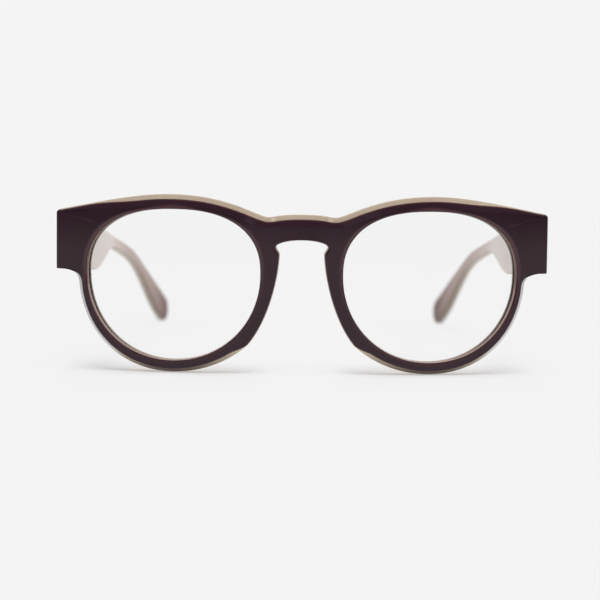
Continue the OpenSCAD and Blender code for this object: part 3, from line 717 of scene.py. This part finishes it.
def nose_rest(side):
    """A ridge along the nose side of the rim. Its section is half a rounded hump, leaning
    away from the nose, and both its width and its height run out at the two ends."""
    u = np.linspace(0.0, 1.0, PAD_ROWS)
    t = mix(PAD_FROM, PAD_TO, u)
    p = cubic(t, *NOSE)
    along = unit(cubic(t + 0.01, *NOSE) - cubic(t - 0.01, *NOSE))
    inward = np.stack([-along[:, 1], along[:, 0]], -1)
    swell = np.sin(np.pi * mix(PAD_ENDS, 1 - PAD_ENDS, u))[:, None]
    a = np.radians(np.linspace(0.0, 180.0, PAD_COLUMNS))[None, :]
    deep = PAD_H * swell ** PAD_RISE * np.sin(a) ** PAD_CROWN
    flare = 1.0 + PAD_FLARE * (1 - np.sin(a)) ** 4
    wide = PAD_W / 2 * swell ** PAD_TAPER * np.cos(a) * flare
    across = EDGE + PAD_W / 2 - wide + PAD_LEAN * deep
    flat = p[:, None, :] + across[:, :, None] * inward[:, None, :]
    rows = np.concatenate([flat, (FRONT_T + PAD_LIFT + deep)[:, :, None]], -1)
    points = bent(rows) * [SIDES[side], 1, 1]
    faces, caps = tube(*rows.shape[:2], SIDES[side] > 0)
    return piece("nose_rest_" + side, points, faces, {}, "front", "champagne_acetate",
                 "nose_pad_" + side, caps)


# Temples

BUTT_X = (BOW_R - FRONT_T) * math.sin(END_S / BOW_R) - BUTT_SET
BUTT_Y = BOW_R - (BOW_R - FRONT_T) * math.cos(END_S / BOW_R)


def ramp(x):
    """0 far before the bend and x far behind it, with a soft turn between them."""
    return (x + np.sqrt(x * x + BEND_SOFT ** 2)) / 2


def ramp_slope(x):
    """The slope of ramp at x."""
    return (1 + x / np.sqrt(x * x + BEND_SOFT ** 2)) / 2


def ear_slope():
    """The slope of the ear part that sets the tip's round end on Z = 0, but for a hair's
    breadth, found by turns."""
    slope = 0.8
    for _ in range(8):
        a = math.atan(slope * math.cos(TOE_IN))
        rise = (TEMPLE_TOP - TEMPLE_DROP * TEMPLE_DEPTH - TIP_H / 2 * (1 + math.cos(a))
                - TIP_LIFT)
        slope = TEMPLE_DROP + rise / ramp(TEMPLE_DEPTH - BEND_DEPTH)
    return slope


EAR_SLOPE = ear_slope()


def top_z(d):
    """The height of a temple's top line: a slow fall, then a steep one behind the bend."""
    return TEMPLE_TOP - TEMPLE_DROP * d - (EAR_SLOPE - TEMPLE_DROP) * ramp(d - BEND_DEPTH)


def slope_angle(d):
    """How far the top line points down, as an angle."""
    fall = TEMPLE_DROP + (EAR_SLOPE - TEMPLE_DROP) * ramp_slope(d - BEND_DEPTH)
    return np.arctan(np.cos(TOE_IN) * fall)


def temple_height(d):
    """The tall block at the hinge, the S down to the slim arm, and the wider ear part."""
    block = mix(BUTT_H, BLOCK_H, np.maximum(0.0, d) / BLOCK_DEPTH)
    arm = mix(block, ARM_H, smooth((d - BLOCK_DEPTH) / NARROWING))
    ear = smooth((d - EAR_FROM) / (EAR_TO - EAR_FROM))
    return np.where(d < ARM_DEPTH, arm, mix(ARM_H, TIP_H, ear))


def temple_thickness(d):
    """The block's thickness, which narrows to the arm's along the same S."""
    return mix(BLOCK_T, ARM_T, smooth((d - BLOCK_DEPTH) / NARROWING))


def temple_stations():
    """Depths along a temple and the share of its full height at each. The last ones follow
    half a circle, which rounds off the tip."""
    d = np.linspace(FIRST_CUT, TEMPLE_DEPTH, TEMPLE_ROWS)
    turn = np.radians(np.linspace(4.0, 88.0, TIP_ROWS))
    run = math.cos(slope_angle(TEMPLE_DEPTH)) * math.cos(TOE_IN)
    reach = TIP_ROUND * TIP_H / 2 * run
    depths = np.concatenate([d, TEMPLE_DEPTH + reach * np.sin(turn)])
    return depths, np.concatenate([np.ones(len(d)), np.cos(turn)])


def temple_rows(depths, shares, corners):
    """Sections of a temple. A corner lies b in from the outer face and v down from the top;
    the section turns with the temple and leans with its slope."""
    h, a = TOE_IN, slope_angle(depths) * smooth(depths / BLOCK_DEPTH)
    rows = []
    for b, v in corners:
        down = v + temple_height(depths) * (1 - shares) / 2
        rows.append(np.stack([
            BUTT_X - depths * np.tan(h) - b * np.cos(h) + down * np.sin(a) * np.sin(h),
            BUTT_Y + depths - b * np.sin(h) - down * np.sin(a) * np.cos(h),
            top_z(depths) - down * np.cos(a)], -1))
    return np.stack(rows, 1)


def butt_end(row, ease):
    """The row carried forward to the plane behind the end piece, and two rows that round
    the rim of that face: one stops short of it, and one lies in it, drawn in."""
    angle = (END_S - BLOCK_T) / BOW_R
    normal = np.array([-math.sin(angle), math.cos(angle), 0.0])
    foot = np.array([(BOW_R - FRONT_T) * math.sin(angle),
                     BOW_R - (BOW_R - FRONT_T) * math.cos(angle), 0.0]) + BUTT_GAP * normal
    run = np.array([-math.tan(TOE_IN), 1.0, -TEMPLE_DROP])
    on_plane = row - ((row - foot) @ normal / (run @ normal))[:, None] * run
    drawn_in = on_plane - unit(on_plane - on_plane.mean(axis=0)) * ease
    return np.stack([drawn_in, mix(drawn_in, on_plane, 0.7) + run * ease * 0.3,
                     on_plane + run * ease])


def temple_layer(side, name, slot, node, corners, radii):
    """One laminate of a temple: its sections, its eased butt and its round tip."""
    depths, shares = temple_stations()
    rows = temple_rows(depths, shares, corners(depths, temple_height(depths) * shares))
    rows, edges = filled(*rounded(rows, radii), TEMPLE_COLUMN)
    butt = butt_end(rows[0], BUTT_EDGE)
    rows, edges = np.concatenate([butt, rows]), np.concatenate([edges[:1]] * len(butt) + [edges])
    faces, caps = tube(*rows.shape[:2], SIDES[side] < 0)
    points = rows * [SIDES[side], 1, 1]
    return piece(name, points, faces, {"edge": edges}, "temple_" + side, slot, node, caps)


def outer_corners(depths, height):
    """The section of a temple's outer laminate, from the outer face in."""
    zero = np.zeros(len(depths))
    return [(zero, height), (zero + OUTER_T, height), (zero + OUTER_T, zero), (zero, zero)]


def inner_corners(depths, height):
    """The section of its inner laminate, from the outer one to the inner face."""
    zero, thick = np.zeros(len(depths)), temple_thickness(depths)
    return [(zero + OUTER_T, height), (thick, height), (thick, zero), (zero + OUTER_T, zero)]


# Set

def floor():
    """A round sheet of pale paper over a light table. The light from below makes up for what
    the sheet doesn't send back, so that it's as bright as the studio behind it, and it is
    weaker where the front stands, so that only the front's shadow shows."""
    make = Recipe(bpy.data.materials.new("paper"))
    front, back = FOOT_ZONE_Y
    deep, aside = make.part("Y"), abs(make.part("X"))
    foot = make.spread(deep, (front - FOOT_FADE, front))
    foot = foot * make.spread(deep, (back + FOOT_FADE, back))
    foot = foot * make.spread(aside, FOOT_INNER_X) * make.spread(aside, FOOT_OUTER_X)
    lit = foot * (FOOT_LIGHT - PAPER_LIGHT) + PAPER_LIGHT
    share = foot * (FOOT_TINT - PAPER_TINT) + PAPER_TINT
    fibres = make.noise(FIBRES, 3.0) * 0.02 + 0.99
    tint = make.blend(fibres, BLACK, make.blend(share, BLACK, WHITE))
    matt = make.node("BsdfDiffuse", {}, {"Color": tint})
    below = make.blend(1.0 - share * lit * (1 / PAPER), BLACK, PAPER_COLOUR)
    glow = make.node("Emission", {}, {"Color": below, "Strength": 1.0})
    turn = np.linspace(0.0, 2 * np.pi, 96, endpoint=False)
    rim = np.stack([np.cos(turn), np.sin(turn), 0 * turn], -1) * PAPER_REACH
    mesh = bpy.data.meshes.new("floor")
    mesh.from_pydata(rim, [], [list(range(len(turn)))])
    mesh.materials.append(make.finish(make.node("AddShader", {}, {0: matt, 1: glow})))
    added("floor", mesh)


def sky():
    """Soft light from all round: white behind the glasses and at their sides, and dimmer
    above them and behind the camera. What the camera sees of it is one pale white."""
    world = bpy.data.worlds.new("studio")
    bpy.context.scene.world = world
    make = Recipe(world, "Generated")
    share = (make.spread(make.part("Y"), SKY_BACK, (1.0, SKY_BACK_TO))
             * make.spread(make.part("Z"), SKY_UP, (1.0, SKY_UP_TO)))
    tint = make.blend(share, BEHIND_CAMERA, PAPER_COLOUR)
    straight = make.node("LightPath", {}, {}, "Is Camera Ray")
    seen = make.blend(straight, tint, PAPER_COLOUR)
    make.finish(make.node("Background", {}, {"Color": seen}), "World")


def lamp(name, strength, spread, towards, mirrored=True):
    """A soft, far lamp that shines along a direction, with or without glints of its own."""
    light = bpy.data.lights.new(name, "SUN")
    light.energy, light.angle = strength, math.radians(spread)
    spot = added(name, light)
    spot.rotation_euler = Vector(towards).to_track_quat("-Z", "Y").to_euler()
    spot.visible_glossy = mirrored


# The frame's own solids, which only get a finish
BARE_SOLIDS = (("hinge_front_leaf_", "hinge_steel"), ("hinge_screw_", "screw_steel"),
               ("hinge_temple_leaf_", "hinge_steel"), ("core_wire_", "wire_steel"))

camera()
laminate("face_laminate", "plum_acetate", "front_face_layer", face_corners, FACE_RADII, FACE_EDGE_GLOW)
laminate("back_laminate", "champagne_acetate", "front_back_layer", back_corners, BACK_RADII, 1.0)
for side in SIDES:
    lens(side)
    nose_rest(side)
    temple_layer(side, "temple_outside_" + side, "champagne_acetate", "temple_outer_" + side,
                 outer_corners, [TEMPLE_EDGE, 0.0, 0.0, TEMPLE_EDGE])
    temple_layer(side, "temple_inside_" + side, "mauve_acetate", "temple_inner_" + side,
                 inner_corners, [0.0, TEMPLE_EDGE, TEMPLE_EDGE, 0.0])
    for node, slot in BARE_SOLIDS:
        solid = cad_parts[node + side]
        solid.data.materials.clear()
        solid.data.materials.append(FINISHES[slot])

floor()
sky()
lamp("key", strength=0.2, spread=60.0, towards=(0.45, 0.55, -0.75))
lamp("fill", strength=0.55, spread=60.0, towards=(-0.65, 0.35, -0.6))
lamp("overhead", strength=1.6, spread=38.0, towards=(0.0, 0.15, -1.0), mirrored=False)
bpy.context.scene.view_settings.view_transform = "Standard"
